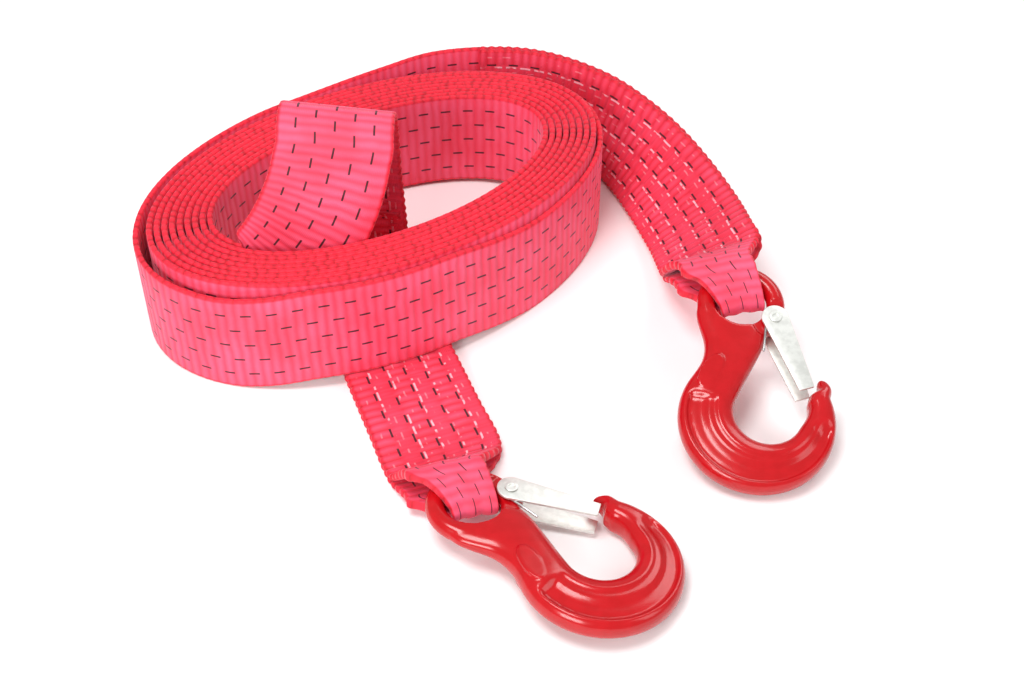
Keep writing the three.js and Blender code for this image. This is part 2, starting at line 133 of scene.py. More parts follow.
# %% [markdown]
# ## Where the two hooks lie
#
# Each hook is modelled flat, about the centre of its bowl, and then turned and moved to its
# place by one matrix. The rear hook hangs by its eye from the leaning tail, so it is tilted.

# %% Make the hooks' matrices
def hook_matrix(x, y, z, heading, tilt, roll):
    turn = Matrix.Rotation(math.radians(heading), 4, "Z")
    turn = turn @ Matrix.Rotation(math.radians(tilt), 4, "Y")
    turn = turn @ Matrix.Rotation(math.radians(roll), 4, "X")
    return Matrix.Translation((x, y, z)) @ turn


# How much lower than the solids the finished hooks are set
SINK = 0.22
HOOK_PLACE = {
    "front": hook_matrix(40.25, -157.8, 11.32 - SINK, -28.5, 3.0, -4.9),
    "rear": hook_matrix(127.3, -75.3, 19.45 - SINK, -86.8, 17.4, 0),
}


def bearing(place, start):
    """Where a loop bears on an eye: the ring's centre line there, the way out and the axis."""
    turn = np.array(place.to_3x3())
    local = turn.T @ (start - np.array(place.translation))
    out = unit(vec(local[0] - EYE_CENTRE[0], local[1] - EYE_CENTRE[1], 0))
    eye = np.array(place @ Vector((*EYE_CENTRE, 0)))
    return eye + turn @ out * EYE_RING, turn @ out, turn @ vec(-out[1], out[0], 0)


FRONT_WALL = vec(-59.5, -22.5, 0)
front_seat, front_out, front_axis = bearing(HOOK_PLACE["front"], FRONT_WALL)
front_way = unit((front_seat - FRONT_WALL) * vec(1, 1, 0))
print("front eye:", np.round(front_seat, 1))

# %% [markdown]
# ## The coil's path
#
# A station is one place along the band: a point, the direction across the band, its width,
# its thickness and how far its edges are cupped to one side. The inner turns ride on the two
# plies that pass under them. The outermost turn lies looser, on the floor and a little away
# from the rest at the left.

# %% Walk round the coil
outer_short = COIL_INNER[1] + COIL_PITCH[1] * COIL_SWEEP + WEB_THICK
coil_lift = (PLY_STACK + FLOOR_CLEARANCE) / (0.5 + 0.5 * COIL_INNER[1] / outer_short)
coil_steps = round(COIL_SWEEP * TURN_STEPS)
DOWN = vec(0, 0, -1)


def coil_at(k):
    turns = k / TURN_STEPS
    angle = math.radians(COIL_START - 360 * turns)
    u = (COIL_INNER[0] + COIL_PITCH[0] * turns) * math.cos(angle)
    v = (COIL_INNER[1] + COIL_PITCH[1] * turns) * math.sin(angle)
    x = COIL_CENTRE[0] + u * math.cos(COIL_TURN) - v * math.sin(COIL_TURN)
    y = COIL_CENTRE[1] + u * math.sin(COIL_TURN) + v * math.cos(COIL_TURN)
    return vec(x, y, coil_lift * (0.5 - 0.5 * v / outer_short) + WEB_WIDTH / 2)


def outer_turn(k):
    share = (k - (coil_steps - TURN_STEPS)) / TURN_STEPS
    p = coil_at(k)
    if share <= 0:
        return p
    out = unit(vec(p[0] - COIL_CENTRE[0], p[1] - COIL_CENTRE[1], 0))
    across = abs((p[0] - FRONT_WALL[0]) * front_way[1] - (p[1] - FRONT_WALL[1]) * front_way[0])
    lift = PLY_STACK + FLOOR_CLEARANCE if p[1] < COIL_CENTRE[1] else 0
    lift *= 1 - smooth(clamp01((across - WEB_WIDTH / 2 - 4) / 50))
    p[2] = lerp(p[2], WEB_WIDTH / 2 + lift, smooth(clamp01(share / 0.1)))
    return p + out * OUTER_SLACK * smooth(clamp01((share - 0.45) / 0.2))


def station(p, w, width=WEB_WIDTH, thick=WEB_THICK, cup=(0, 0, 0)):
    return np.concatenate([p, w, [width, thick], cup])


coil = [station(outer_turn(k), DOWN) for k in range(coil_steps + 1)]
print("coil stations:", len(coil))

# %% [markdown]
# ## The front end
#
# Two plies lie flat on the floor. The lower one is the end that was folded back round the
# eye; it stops inside the coil. The upper one rises, turns over at the top and comes down as
# a flap that twists on to its edge and becomes the first turn of the coil.

# %% Walk the front end
front_across = vec(-front_way[1], front_way[0], 0)
front_axis = front_axis * np.sign(front_axis @ front_across)
front_up = unit(np.cross(front_axis, front_out))
front_up = front_up * np.sign(front_up[2])
RISE_START = 58
RISE_RADIUS = 20
CREST = vec(-89.5, 40, 99)
CREST_RADIUS = 20
crest_across = unit(vec(0.994, -0.07, -0.075))


def taper_width(t):
    return lerp(WEB_WIDTH, NECK_WIDTH, smooth(t))


def neck_shift(width):
    """The band is drawn in mostly at its left edge, so the neck's middle lies to the left."""
    return (width - LOOP_WIDTH) / 2


def taper_thick(t):
    return lerp(WEB_THICK, LOOP_FLAT, smooth(t))


def front_plies():
    over, under = [], []
    for i in range(1, 9):
        t = 1 - i / 8
        k = smooth(t)
        base = front_seat - front_way * LOOP_TAPER * i / 8 - front_axis * neck_shift(NECK_WIDTH) * k
        w = unit(lerp(front_across, front_axis, k))
        droop = abs(w[2]) * taper_width(t) / 2
        top = lerp(UPPER_PLY, front_seat[2] + LOOP_RADIUS, k)
        bottom = lerp(WEB_THICK / 2, front_seat[2] - LOOP_RADIUS, k)
        bottom = max(bottom, taper_thick(t) / 2 + droop)
        over.append(station(vec(base[0], base[1], top), w, taper_width(t), taper_thick(t)))
        under.append(station(vec(base[0], base[1], bottom), w, taper_width(t), taper_thick(t)))
    return over, under


def rise(offset):
    foot = FRONT_WALL - front_way * RISE_START
    start = front_seat - front_way * LOOP_TAPER
    out = []
    for share in (0.75, 0.5, 0.25, 0):
        p = lerp(foot, start, share)
        out.append(station(vec(p[0], p[1], UPPER_PLY - offset), front_across))
    radius = RISE_RADIUS + offset
    for i in range(1, 7):
        angle = math.pi / 2 * i / 6
        p = foot - front_way * radius * math.sin(angle)
        p[2] = UPPER_PLY + RISE_RADIUS - radius * math.cos(angle)
        out.append(station(p, unit(lerp(front_across, crest_across, 0.5 * i / 6))))
    return out


def loop(seat, out, w, start, left):
    rings = []
    for i in range(11):
        angle = math.pi * i / 10
        deep = math.sin(angle)
        p = seat + start * LOOP_RADIUS * math.cos(angle) - out * (LOOP_RADIUS + LOOP_SAG * deep) * deep
        width = lerp(NECK_WIDTH, LOOP_WIDTH, deep**0.8)
        p = p + left * neck_shift(width)
        rings.append(station(p, w, width, LOOP_FLAT, -out * LOOP_CUP * deep))
    return rings


# %% [markdown]
# A spline through a few chosen points gives the flap and the tail their easy curves. It is
# the same spline, centripetal Catmull-Rom, that the solids were made with, so the band lies
# where the solid lies.

# %% Draw a spline through points
def spline(points, t):
    n = len(points) - 1
    i = min(int(t * n), n - 1)
    s = t * n - i
    p1, p2 = points[i], points[i + 1]
    p0 = points[i - 1] if i else 2 * p1 - p2
    p3 = points[i + 2] if i + 2 <= n else 2 * p2 - p1
    d0, d1, d2 = (max(np.linalg.norm(b - a), 1e-4) ** 0.5 for a, b in ((p0, p1), (p1, p2), (p2, p3)))
    m1 = ((p1 - p0) / d0 - (p2 - p0) / (d0 + d1) + (p2 - p1) / d1) * d1
    m2 = ((p2 - p1) / d1 - (p3 - p1) / (d1 + d2) + (p3 - p2) / d2) * d1
    return (2 * p1 - 2 * p2 + m1 + m2) * s**3 + (-3 * p1 + 3 * p2 - 2 * m1 - m2) * s**2 + m1 * s + p1


def crest():
    out = []
    for i in range(11):
        angle = math.radians(-10 + 15 * i)
        p = CREST + CREST_RADIUS * vec(0, math.cos(angle), math.sin(angle))
        out.append(station(p, crest_across))
    return out


def flap(start):
    points = [start, vec(-95, 16, 92), vec(-104, 10, 72), vec(-117, 7, 54), vec(-131, 5.5, 42), coil_at(0)]
    ways = [crest_across, vec(0.97, -0.08, -0.22), vec(0.88, -0.06, -0.47), vec(0.68, -0.03, -0.73),
            vec(0.36, 0, -0.93), DOWN]
    return [station(spline(points, i / 14), unit(spline(ways, i / 14))) for i in range(1, 14)]


over, under = front_plies()
lower_rise = rise(WEB_THICK + PLY_GAP)[::-1]
lower_end = station(lower_rise[0][:3] + vec(-3, 1, 24), crest_across)
arch = crest()
front_sewn = [
    lower_end, *lower_rise, *under[::-1],
    *loop(front_seat, front_out, front_axis, -front_up, -front_axis),
    *over, *rise(0), *arch[:2],
]
front_plain = [*arch[1:], *flap(arch[-1][:3])]
print("front stations:", len(front_sewn), len(front_plain))

# %% [markdown]
# ## The rear end
#
# The tail leaves the back of the coil on its edge, leans over little by little and runs round
# the rear hook's eye. Its folded-back ply lies on the inner side and is the one that shows.

# %% Walk the tail
TAIL = [
    (-79, 175, 0, (0, 0.03, 1)),
    (-45, 193, 0, (0, 0.06, 1)),
    (8, 194.5, 0, (0.05, 0.12, 1)),
    (47, 173, 0, (0.2, 0.1, 0.97)),
    (70, 146, 0, (0.4, 0.05, 0.9)),
    (89, 112, 0, (0.62, 0.03, 0.78)),
    (103, 72, 3, (0.76, 0, 0.65)),
    (108, 38, 11, (0.8, -0.04, 0.6)),
]
tail_leans = [unit(vec(*lean)) for _, _, _, lean in TAIL]
tail_points = [
    vec(x, y, low + lean[2] * WEB_WIDTH / 2 + math.sqrt(1 - lean[2] ** 2) * WEB_THICK / 2)
    for (x, y, low, _), lean in zip(TAIL, tail_leans)
]
rear_seat, rear_out, rear_axis = bearing(HOOK_PLACE["rear"], tail_points[-1] + vec(0, 0, SINK))
rear_axis = rear_axis * -np.sign(rear_axis @ tail_leans[-1])
rear_face = unit(np.cross(rear_axis, -rear_out))
OVERLAP_START = 10


def tail_stations():
    points = [outer_turn(coil_steps), *tail_points, rear_seat - rear_face * LOOP_RADIUS]
    ways = [DOWN, *(-lean for lean in tail_leans), rear_axis]
    path = []
    for i in range(1, 41):
        p = spline(points, i / 40)
        w = unit(spline(ways, i / 40))
        p[2] = max(p[2], (WEB_WIDTH * abs(w[2]) + WEB_THICK * math.hypot(w[0], w[1])) / 2)
        path.append((p, w))
    return path


def tail_plies(path):
    gaps = [np.linalg.norm(b[0] - a[0]) for a, b in zip(path, path[1:])]
    main, back = [], []
    for i, (p, w) in enumerate(path):
        t = clamp01(1 - (sum(gaps[i:]) - LOOP_HOLD) / LOOP_TAPER)
        k = smooth(t)
        w = unit(lerp(w, rear_axis, k))
        p = p + rear_axis * neck_shift(NECK_WIDTH) * k
        main.append(station(p, w, taper_width(t), taper_thick(t)))
        if OVERLAP_START <= i < len(path) - 1:
            face = unit(lerp(unit(np.cross(w, unit(path[i + 1][0] - path[i - 1][0]))), rear_face, k))
            q = p + face * lerp(WEB_THICK + PLY_GAP, 2 * LOOP_RADIUS, k)
            back.append(station(q, w, taper_width(t), taper_thick(t)))
    return main, back


tail_main, tail_back = tail_plies(tail_stations())
coil_plain = [*front_plain, *coil, *tail_main[:OVERLAP_START + 1]]
rear_sewn = [
    *tail_main[OVERLAP_START:-1],
    *loop(rear_seat, rear_out, rear_axis, -rear_face, rear_axis),
    *tail_back[::-1],
]
print("rear stations:", len(rear_sewn))

# %% [markdown]
# ## From stations to cloth
#
# The stations are too far apart for cloth, so the band is read again at even steps: three to
# each woven rib, and six where it is sewn. At each step a ring of points is laid round the
# band's section. The ribs swell the faces and scallop the edges. Where two plies are sewn
# together, the seams pull the faces down along the tracer lines and the cloth between them
# puffs up in small cushions.

# %% Read the stations at even steps
RIB = 5.1
PUFF = 0.85
RIB_PROUD = 0.1
SCALLOP_SEWN = 0.34
SCALLOP_PLAIN = 0.07
FOLD = 0.35
generator = np.random.default_rng(7)
CELL_SHIFT = generator.uniform(-0.1, 0.1, (6, 400)) + 0.5 * (np.arange(6) % 2)[:, None]


def resample(stations, step):
    values = np.array(stations)
    keep = np.r_[True, np.linalg.norm(np.diff(values[:, :3], axis=0), axis=1) > 0.05]
    values = values[keep]
    s = np.r_[0, np.cumsum(np.linalg.norm(np.diff(values[:, :3], axis=0), axis=1))]
    at = np.linspace(0, s[-1], round(s[-1] / step) + 1)
    slope = np.gradient(values, s, axis=0)
    i = np.clip(np.searchsorted(s, at) - 1, 0, len(s) - 2)
    h = (s[i + 1] - s[i])[:, None]
    t = ((at - s[i]) / (s[i + 1] - s[i]))[:, None]
    a = values[i] * (1 + 2 * t) * (1 - t) ** 2 + slope[i] * h * t * (1 - t) ** 2
    b = values[i + 1] * t * t * (3 - 2 * t) - slope[i + 1] * h * t * t * (1 - t)
    return at, a + b


def section(columns):
    """Points round the band: k across, from -1 to 1, and h through it, from -1 to 1."""
    top = [(k, 1.0) for k in np.linspace(-0.955, 0.955, columns)]
    edge = [(0.99, 0.72), (1.0, 0.0), (0.99, -0.72)]
    return np.array(top + edge + [(k, -h) for k, h in top[::-1]] + [(-k, -h) for k, h in edge])


def relief(k, along, sewn):
    """How high the cloth stands, from 0 in the valleys to 1 on the crests."""
    cell = np.clip(((k + 1) * 3).astype(int), 0, 5)
    if not sewn:
        return 0.5 + 0.5 * np.cos(2 * math.pi * along / RIB)
    rib = np.floor(along / RIB).astype(int) % 400
    phase = along / RIB + CELL_SHIFT[cell, rib]
    puff = np.abs(np.sin(math.pi * (k + 1) * 3)) ** 0.7
    return (0.25 + 0.75 * np.abs(np.cos(math.pi * phase)) ** 0.7) * (0.5 + 0.5 * puff)


# %% Make a band's mesh
def band(name, stations, columns, step, sewn, start=0.0):
    at, values = resample(stations, step)
    p, w = values[:, :3], values[:, 3:6]
    w = w / np.linalg.norm(w, axis=1)[:, None]
    along = np.gradient(p, axis=0)
    face = np.cross(w, along)
    face /= np.linalg.norm(face, axis=1)[:, None]
    ring = section(columns)
    k, h = ring[:, 0][None, :], ring[:, 1][None, :]
    v = (at + start)[:, None]
    bunch = np.clip((WEB_WIDTH - values[:, 6:7]) / (WEB_WIDTH - LOOP_WIDTH), 0, 1)
    height = relief(k + 0 * v, v + 0 * k, sewn)
    stand = (height - 0.5) * (PUFF * np.clip(1 - 3 * bunch, 0, 1) if sewn else RIB_PROUD)
    through = h * (values[:, 7:8] / 2) + np.sign(h) * np.where(np.abs(h) > 0.9, stand, 0)
    through = through + bunch * FOLD * np.cos(2.6 * math.pi * k + 0.6)
    scallop = (SCALLOP_SEWN if sewn else SCALLOP_PLAIN) * np.cos(2 * math.pi * v / RIB)
    scallop = scallop * (np.abs(k) > 0.9) * (1 - bunch)
    across = k * (values[:, 6:7] / 2) + np.sign(k) * scallop
    points = p[:, None] + w[:, None] * across[..., None] + face[:, None] * through[..., None]
    points = points + values[:, None, 8:11] * (k**2)[..., None]
    rows, count = points.shape[:2]
    index = np.arange(rows * count).reshape(rows, count)
    nxt = np.roll(index, -1, axis=1)
    quads = np.stack([index[:-1], nxt[:-1], nxt[1:], index[1:]], axis=-1).reshape(-1, 4)
    faces = quads.tolist() + [index[0][::-1].tolist(), index[-1].tolist()]
    mesh = bpy.data.meshes.new(name)
    mesh.from_pydata((points.reshape(-1, 3) * MM + np.array(STEP)).tolist(), [], faces)
    flat = np.stack([(k + 0 * v) * WEB_WIDTH / 2 * MM, (v + 0 * k) * MM], axis=-1).reshape(-1, 2)
    corner = np.empty(len(mesh.loops), dtype=np.int64)
    mesh.loops.foreach_get("vertex_index", corner)
    mesh.uv_layers.new(name="cloth").data.foreach_set("uv", flat[corner].ravel())
    mesh.attributes.new("sewn", "FLOAT", "POINT")
    ease = np.clip((0.3 - bunch) * 6, 0, 1) * (1.0 if sewn else 0.0)
    mesh.attributes["sewn"].data.foreach_set("value", np.repeat(ease[:, 0], count).astype(np.float32))
    mesh.attributes.new("crest", "FLOAT", "POINT")
    mesh.attributes["crest"].data.foreach_set("value", height.ravel().astype(np.float32))
    obj = bpy.data.objects.new(name, mesh)
    bpy.context.scene.collection.objects.link(obj)
    measure = bmesh.new()
    measure.from_mesh(mesh)
    if measure.calc_volume(signed=True) < 0:
        bmesh.ops.reverse_faces(measure, faces=measure.faces[:])
        measure.to_mesh(mesh)
    measure.free()
    mesh.polygons.foreach_set("use_smooth", [True] * len(mesh.polygons))
    print(name, len(mesh.polygons), "faces,", round(at[-1]), "mm long")
    return obj, at[-1]


# %% Lay the three lengths of the band
front_end, front_length = band("front_sewn_end", front_sewn, 37, RIB / 6, True)
coil_band, coil_length = band("coiled_band", coil_plain, 7, RIB / 3, False, front_length)
rear_end, rear_length = band("rear_sewn_end", rear_sewn, 37, RIB / 6, True, front_length + coil_length)
lengths = (front_length, coil_length, rear_length)
for cloth, length in zip((front_end, coil_band, rear_end), lengths):
    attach(cloth, "webbing")
    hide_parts("webbing")
print("webbing in all:", round(sum(lengths) * MM, 2), "m")

# %% [markdown]
# ## Small helpers for modelling by hand
#
# An operator acts on everything that is selected, so each piece starts with a clean
# selection. Modifiers are applied, so that the finished mesh holds the whole shape.

# %% Selection and modifiers
def deselect():
    if bpy.context.mode != "OBJECT":
        bpy.ops.object.mode_set(mode="OBJECT")
    bpy.ops.object.select_all(action="DESELECT")


def select(obj):
    deselect()
    obj.select_set(True)
    bpy.context.view_layer.objects.active = obj


def modify(obj, kind, **settings):
    select(obj)
    modifier = obj.modifiers.new(kind.lower(), kind)
    for key, value in settings.items():
        setattr(modifier, key, value)
    bpy.ops.object.modifier_apply(modifier=modifier.name)


def join(main, *others):
    select(main)
    for other in others:
        other.select_set(True)
    bpy.ops.object.join()
    return main


def settle(obj):
    """Puts the object's place, turn and scale into its mesh."""
    select(obj)
    bpy.ops.object.transform_apply(location=True, rotation=True, scale=True)
    return obj


def cylinder(name, radius, depth, place, vertices=48):
    deselect()
    bpy.ops.mesh.primitive_cylinder_add(
        vertices=vertices, radius=radius * MM, depth=depth * MM, location=[c * MM for c in place])
    obj = bpy.context.object
    obj.name = name
    return settle(obj)


def cut(obj, tool, operation="DIFFERENCE"):
    modify(obj, "BOOLEAN", object=tool, operation=operation, solver="EXACT")
    bpy.data.objects.remove(tool)


# %% [markdown]
# ## The forged hook
#
# A hook is forged from one bar. The bar is drawn here as a section that is carried from the
# nose round the bowl and up the shank, and that changes on its way: it is rounded, with a
# shallow pocket in each face of the bowl. A ring of round bar is the eye. Voxel remesh fuses
# bar, ring and the bare oval pad into one skin, and smoothing softens the creases, just as
# the dies and the paint do.

# %% The bar's sections
BOWL_RADIUS = 17.1
BOWL_STEPS = 72
SHANK_STEPS = 30
SECTION_POINTS = 34
HOOK_THICK = 16.0
OUTER_CENTRE = (3.3, -6.0)
OUTER_RADIUS = 39.3
NOSE_OPENING = 3.5
RECESS_DEPTH = 3.2
PIVOT = (-52.3, 10.3)
LUG_THICK = 7.2
LUG_RADIUS = 6.6
PIN_RADIUS = 2.8
PIN_HOLE = 3.1
THROUGH = 60


def bar_places():
    """x, y, heading, width, thickness and pocket depth of each section."""
    nose = [(-17.2, 28.6, 206, 2.0, 3.6, 0), (-16.4, 28.9, 203, 3.6, 6.2, 0), (-14.6, 29.5, 200, 5.4, 9, 0),
            (-12.6, 30.0, 195, 6.4, 11, 0), (-10.6, 29.7, 190, 8.2, 13, 0), (-8.8, 27.8, 185, 11.6, 14.5, 0)]
    bowl = []
    offset = math.hypot(*OUTER_CENTRE)
    for i in range(BOWL_STEPS + 1):
        degrees = 100 - 220 * i / BOWL_STEPS
        c, s = math.cos(math.radians(degrees)), math.sin(math.radians(degrees))
        inner = BOWL_RADIUS + NOSE_OPENING * smooth(clamp01((degrees - 55) / 45))
        reach = OUTER_CENTRE[0] * c + OUTER_CENTRE[1] * s
        outer = reach + math.sqrt(OUTER_RADIUS**2 - offset**2 + reach**2)
        mid = (inner + outer) / 2
        ease = smooth(clamp01(min((78 - degrees) / 22, (degrees + 110) / 7)))
        bowl.append((mid * c, mid * s, degrees + 90, outer - inner, HOOK_THICK, RECESS_DEPTH * ease))
    keys = [
        vec(*bowl[-2]), vec(*bowl[-1]), vec(-23.2, -20.2, -28.5, 24.1, 15.2, 0),
        vec(-32.2, -15.3, -19.1, 26, 14.2, 0), vec(-40.7, -12.1, -10.5, 30.3, 13, 0),
        vec(-49.2, -11.2, -7.5, 34.4, 12, 0), vec(-57.5, -12.3, -2, 33.4, 11, 0),
        vec(-64.3, -17.4, 0, 21, 9, 0),
    ]
    shank = [spline(keys, (1 + 6 * i / SHANK_STEPS) / 7) for i in range(1, SHANK_STEPS + 1)]
    return nose + bowl + shank


def bar_ring(x, y, heading, width, thick, pocket):
    turn = math.radians(heading) - math.pi / 2
    points = []
    angles = [math.pi * (i + 0.5) / SECTION_POINTS for i in range(SECTION_POINTS)]
    half = []
    for angle in angles:
        a = math.copysign(abs(math.cos(angle)) ** (2 / 2.5), math.cos(angle))
        z = abs(math.sin(angle)) ** (2 / 2.5) * thick / 2
        wall = 0.45 * smooth(clamp01((a + 0.42) / 0.16)) + 0.55 * smooth(clamp01((a - 0.0) / 0.14))
        wall *= smooth(clamp01((0.74 - a) / 0.1))
        half.append((a, z - pocket * wall))
    for a, z in half + [(a, -z) for a, z in half[::-1]]:
        points.append((x + a * width / 2 * math.cos(turn), y + a * width / 2 * math.sin(turn), z))
    return points


def swept_bar():
    rings = np.array([bar_ring(*place) for place in bar_places()]) * MM
    rows, count = rings.shape[:2]
    index = np.arange(rows * count).reshape(rows, count)
    nxt = np.roll(index, -1, axis=1)
    quads = np.stack([index[:-1], nxt[:-1], nxt[1:], index[1:]], axis=-1).reshape(-1, 4)
    mesh = bpy.data.meshes.new("hook_bar")
    ends = [index[0][::-1].tolist(), index[-1].tolist()]
    mesh.from_pydata(rings.reshape(-1, 3).tolist(), [], quads.tolist() + ends)
    obj = bpy.data.objects.new("hook_bar", mesh)
    bpy.context.scene.collection.objects.link(obj)
    select(obj)
    bpy.ops.object.mode_set(mode="EDIT")
    bpy.ops.mesh.select_all(action="SELECT")
    bpy.ops.mesh.normals_make_consistent(inside=False)
    bpy.ops.object.mode_set(mode="OBJECT")
    return obj


# %% Fuse bar, ring and pad
def forged_hook():
    bar = swept_bar()
    cut(bar, cylinder("bore", EYE_BORE + 1.5, THROUGH, (*EYE_CENTRE, 0)))
    deselect()
    bpy.ops.mesh.primitive_torus_add(
        major_segments=96, minor_segments=28, major_radius=EYE_RING * MM, minor_radius=EYE_TUBE * MM,
        location=(EYE_CENTRE[0] * MM, EYE_CENTRE[1] * MM, 0))
    ring = settle(bpy.context.object)
    pads = []
    for side in (1, -1):
        pad = cylinder("pad", 5.0, 1.2, (0, 0, 0), 40)
        pad.scale = (2.15, 1, 1)
        pad.rotation_euler = (0, 0, math.radians(-34))
        pad.location = (-22.6 * MM, -26.6 * MM, side * 7.45 * MM)
        settle(pad)
        modify(pad, "BEVEL", width=0.45 * MM, segments=2)
        pads.append(pad)
    hook = join(bar, ring)
    modify(hook, "REMESH", mode="VOXEL", voxel_size=0.62 * MM)
    modify(hook, "SMOOTH", factor=0.5, iterations=5)
    for pad in pads:
        cut(hook, pad, "UNION")
    for side in (1, -1):
        cut(hook, cylinder("latch_relief", 12, HOOK_THICK, (*PIVOT, side * (LUG_THICK + HOOK_THICK) / 2)))
    cut(hook, cylinder("lug", LUG_RADIUS, LUG_THICK, (*PIVOT, 0)), "UNION")
    cut(hook, cylinder("pin_hole", PIN_HOLE, THROUGH, (*PIVOT, 0)))
    modify(hook, "REMESH", mode="VOXEL", voxel_size=0.55 * MM)
    modify(hook, "SMOOTH", factor=0.5, iterations=3)
    select(hook)
    bpy.ops.object.shade_smooth()
    return hook


hook_pattern = forged_hook()
print("hook:", len(hook_pattern.data.polygons), "faces")

# %% [markdown]
# ## The latch
#
# The latch is pressed from one strip of sheet: two cheeks beside the lug and a web between
# them. A cheek starts as a round disc. It is cut across, the cut edge is drawn out to the
# tip, and the flat shape is given the sheet's thickness.

# %% Press the latch
LATCH_SHEET = 1.5
LATCH_INSIDE = 10.4
LATCH_HEAD = 7.0
LATCH_LENGTH = 43.0
LATCH_TIP = 8.0
LATCH_ANGLE = 13.5
HEAD_CUT = 1.2


def cheek(z):
    deselect()
    bpy.ops.mesh.primitive_circle_add(
        vertices=56, radius=LATCH_HEAD * MM, fill_type="NGON", location=(0, 0, z * MM))
    plate = settle(bpy.context.object)
    bpy.ops.object.mode_set(mode="EDIT")
    bpy.ops.mesh.select_all(action="SELECT")
    bpy.ops.mesh.bisect(plane_co=(HEAD_CUT * MM, 0, z * MM), plane_no=(1, 0, 0), clear_outer=True)
    bpy.ops.mesh.extrude_region_move(TRANSFORM_OT_translate={"value": ((LATCH_LENGTH - HEAD_CUT) * MM, 0, 0)})
    share = LATCH_TIP / (2 * math.sqrt(LATCH_HEAD**2 - HEAD_CUT**2))
    bpy.ops.transform.resize(value=(1, share, 1), center_override=(LATCH_LENGTH * MM, 0, z * MM))
    bpy.ops.object.mode_set(mode="OBJECT")
    modify(plate, "SOLIDIFY", thickness=LATCH_SHEET * MM, offset=0)
    modify(plate, "BEVEL", width=0.35 * MM, segments=3, limit_method="ANGLE")
    return plate


def web():
    start = LATCH_HEAD + 3.5
    length = LATCH_LENGTH - start
    deselect()
    bpy.ops.mesh.primitive_cube_add(size=1, location=(0, 0, 0))
    plate = bpy.context.object
    plate.scale = (length * MM, LATCH_SHEET * MM, (LATCH_INSIDE + 1.2) * MM)
    settle(plate)
    bpy.ops.object.mode_set(mode="EDIT")
    mesh = bmesh.from_edit_mesh(plate.data)
    for face in mesh.faces:
        face.select = face.normal.y < -0.9
    bmesh.update_edit_mesh(plate.data)
    bpy.ops.mesh.inset(thickness=2.6 * MM, depth=0)
    bpy.ops.mesh.extrude_region_move(TRANSFORM_OT_translate={"value": (0, -0.9 * MM, 0)})
    bpy.ops.transform.resize(value=(0.85, 1, 0.6))
    bpy.ops.object.mode_set(mode="OBJECT")
    modify(plate, "BEVEL", width=0.4 * MM, segments=3, limit_method="ANGLE")
    slope = math.atan2(LATCH_HEAD - LATCH_TIP / 2, LATCH_LENGTH)
    plate.location = (start * MM, (-LATCH_HEAD + 1.5) * MM, 0)
    plate.rotation_euler = (0, 0, slope)
    shift = Matrix.Translation((length / 2 * MM, LATCH_SHEET / 2 * MM, 0))
    plate.data.transform(shift)
    return settle(plate)


def pressed_latch():
    half = LATCH_INSIDE / 2 + LATCH_SHEET / 2
    latch = join(cheek(half), cheek(-half), web())
    cut(latch, cylinder("pin_hole", PIN_HOLE, THROUGH, (0, 0, 0)))
    latch.data.transform(Matrix.Translation((PIVOT[0] * MM, PIVOT[1] * MM, 0))
                         @ Matrix.Rotation(math.radians(LATCH_ANGLE), 4, "Z"))
    select(latch)
    bpy.ops.object.shade_smooth_by_angle(angle=math.radians(40))
    return latch


latch_pattern = pressed_latch()
print("latch:", len(latch_pattern.data.polygons), "faces")

# %% [markdown]
# ## Pin and spring
#
# The latch turns on a hollow rivet: a pin whose head is inset and pushed in. The spring is a
# turn of wire round it, with one leg against the shank and one against the latch. The two
# legs move with different bodies, so they are two pieces.

# %% Rivet the pin
HOLE_DEPTH = 2.8


def hollow_rivet():
    half = LATCH_INSIDE / 2 + LATCH_SHEET + 0.3
    pin = cylinder("pin", PIN_RADIUS, 2 * (half - HOLE_DEPTH), (0, 0, 0), 40)
    heads = []
    for side in (1, -1):
        head = cylinder("head", 3.2, 0.6, (0, 0, side * (half + 0.3)), 48)
        bpy.ops.object.mode_set(mode="EDIT")
        mesh = bmesh.from_edit_mesh(head.data)
        for face in mesh.faces:
            face.select = face.normal.z * side > 0.9
        bmesh.update_edit_mesh(head.data)
        bpy.ops.mesh.inset(thickness=1.3 * MM, depth=0)
        bpy.ops.mesh.inset(thickness=0.4 * MM, depth=0)
        bpy.ops.mesh.extrude_region_move(TRANSFORM_OT_translate={"value": (0, 0, -side * 3.2 * MM)})
        bpy.ops.object.mode_set(mode="OBJECT")
        modify(head, "BEVEL", width=0.2 * MM, segments=3, limit_method="ANGLE")
        heads.append(head)
    join(pin, *heads)
    pin.data.transform(Matrix.Translation((PIVOT[0] * MM, PIVOT[1] * MM, 0)))
    select(pin)
    bpy.ops.object.shade_smooth_by_angle(angle=math.radians(35))
    return pin


pin_pattern = hollow_rivet()

# %% Wind the spring
WIRE = 1.3
SPRING_RADIUS = 4.9 - WIRE / 2
SPRING_HEIGHT = LUG_THICK / 2 + 0.3 + WIRE / 2


def leg(name, angle, length):
    wire = cylinder(name, WIRE / 2, length, (0, 0, 0), 16)
    wire.rotation_euler = (0, math.pi / 2, 0)
    settle(wire)
    modify(wire, "BEVEL", width=0.3 * MM, segments=2, limit_method="ANGLE")
    wire.data.transform(Matrix.Translation((PIVOT[0] * MM, PIVOT[1] * MM, SPRING_HEIGHT * MM))
                        @ Matrix.Rotation(math.radians(angle), 4, "Z")
                        @ Matrix.Translation((length / 2 * MM, -SPRING_RADIUS * MM, 0)))
    select(wire)
    bpy.ops.object.shade_smooth_by_angle(angle=math.radians(50))
    return wire


